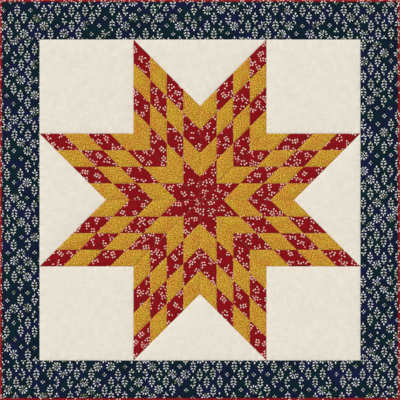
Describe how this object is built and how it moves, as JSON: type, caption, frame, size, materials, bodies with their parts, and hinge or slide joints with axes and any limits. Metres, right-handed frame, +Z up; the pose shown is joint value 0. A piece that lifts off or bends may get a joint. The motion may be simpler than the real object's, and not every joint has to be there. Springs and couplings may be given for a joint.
{
  "type": "star quilt blanket",
  "caption": "Square patchwork quilt, laid flat, with a large pieced diamond star on cream, dark printed borders and a folded binding.",
  "frame": {"origin": "middle of the underside, on the surface that the quilt lies on, below the centre of the star", "axes": "+Z up out of the quilt's face, +X towards its right-hand border and +Y towards its top border as the picture shows them"},
  "size_m": [1.5312, 1.5312, 0.0064],
  "materials": {
    "red_print": "matte printed cotton, dark red with small pink sprigs",
    "ochre_cotton": "matte mottled cotton, golden ochre",
    "cream_cotton": "matte plain-weave cotton, cream",
    "navy_print": "matte printed cotton, dark navy with pale sprigs"
  },
  "bodies": {
    "root": {"star_point_1": "red_print", "star_point_2": "red_print", "star_point_3": "red_print", "star_point_4": "red_print", "star_point_5": "red_print", "star_point_6": "red_print", "star_point_7": "red_print", "star_point_8": "red_print", "background_square_1": "cream_cotton", "background_square_2": "cream_cotton", "background_square_3": "cream_cotton", "background_square_4": "cream_cotton", "background_triangle_1": "cream_cotton", "background_triangle_2": "cream_cotton", "background_triangle_3": "cream_cotton", "background_triangle_4": "cream_cotton", "border_top": "navy_print", "border_left": "navy_print", "border_bottom": "navy_print", "border_right": "navy_print", "binding_top": "red_print", "binding_left": "red_print", "binding_bottom": "red_print", "binding_right": "red_print"}
  },
  "joints": []
}
